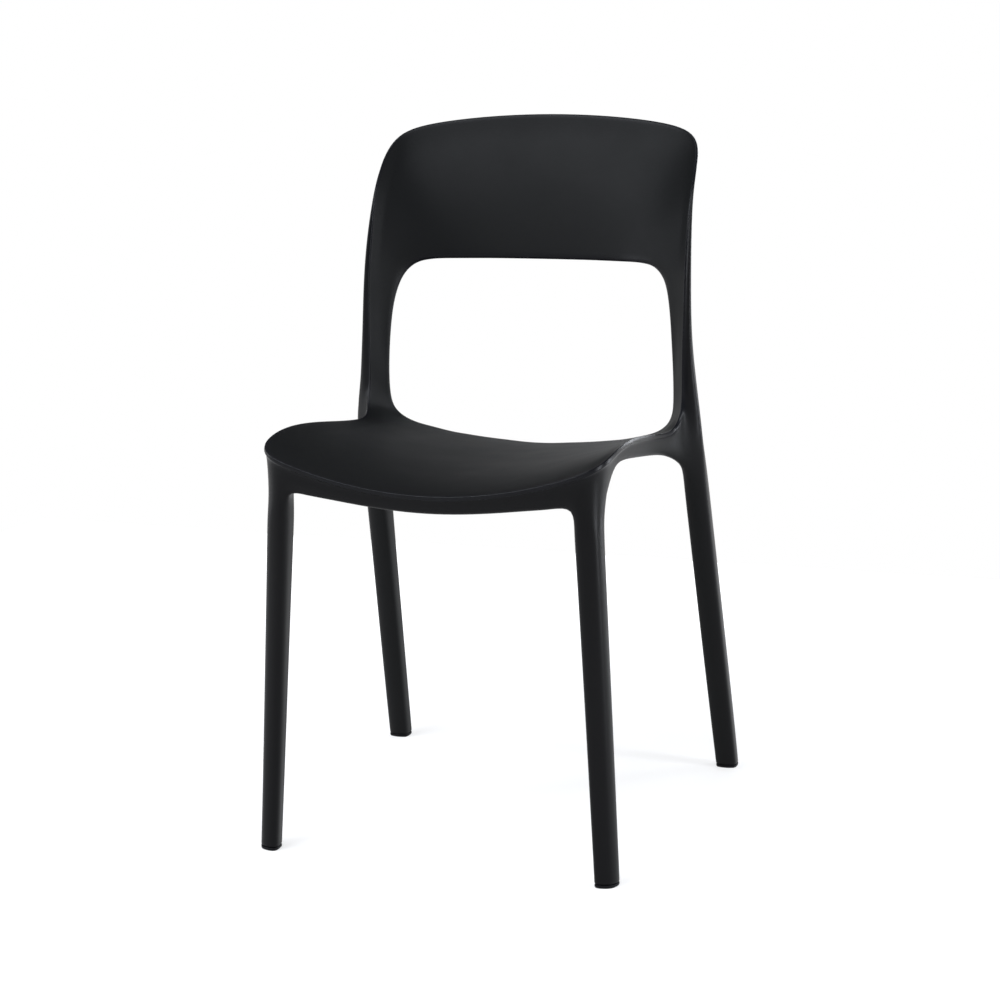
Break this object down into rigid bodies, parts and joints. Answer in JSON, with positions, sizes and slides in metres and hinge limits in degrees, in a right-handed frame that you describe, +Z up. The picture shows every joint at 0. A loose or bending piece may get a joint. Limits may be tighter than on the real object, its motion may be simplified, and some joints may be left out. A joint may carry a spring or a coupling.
{
  "type": "stacking chair",
  "caption": "Moulded plastic stacking chair with a dished seat, slim splayed legs and a low curved backrest carried on posts above an open gap.",
  "frame": {"origin": "on the floor, under the middle of the chair's bounding box", "axes": "+X to the right as seen from in front, +Y to the back, +Z up; the seat's front edge faces -Y"},
  "size_m": [0.47, 0.514, 0.815],
  "materials": {
    "moulding": "satin-matt black moulded polypropylene with a fine even texture",
    "glide": "plain matt dark grey plastic"
  },
  "bodies": {
    "root": {"seat_shell": "moulding", "front_apron": "moulding", "backrest": "moulding", "left_side_rail": "moulding", "right_side_rail": "moulding", "left_front_leg": "moulding", "right_front_leg": "moulding", "left_rear_leg": "moulding", "right_rear_leg": "moulding", "left_back_post": "moulding", "right_back_post": "moulding", "left_front_glide": "glide", "right_front_glide": "glide", "left_rear_glide": "glide", "right_rear_glide": "glide"}
  },
  "joints": []
}
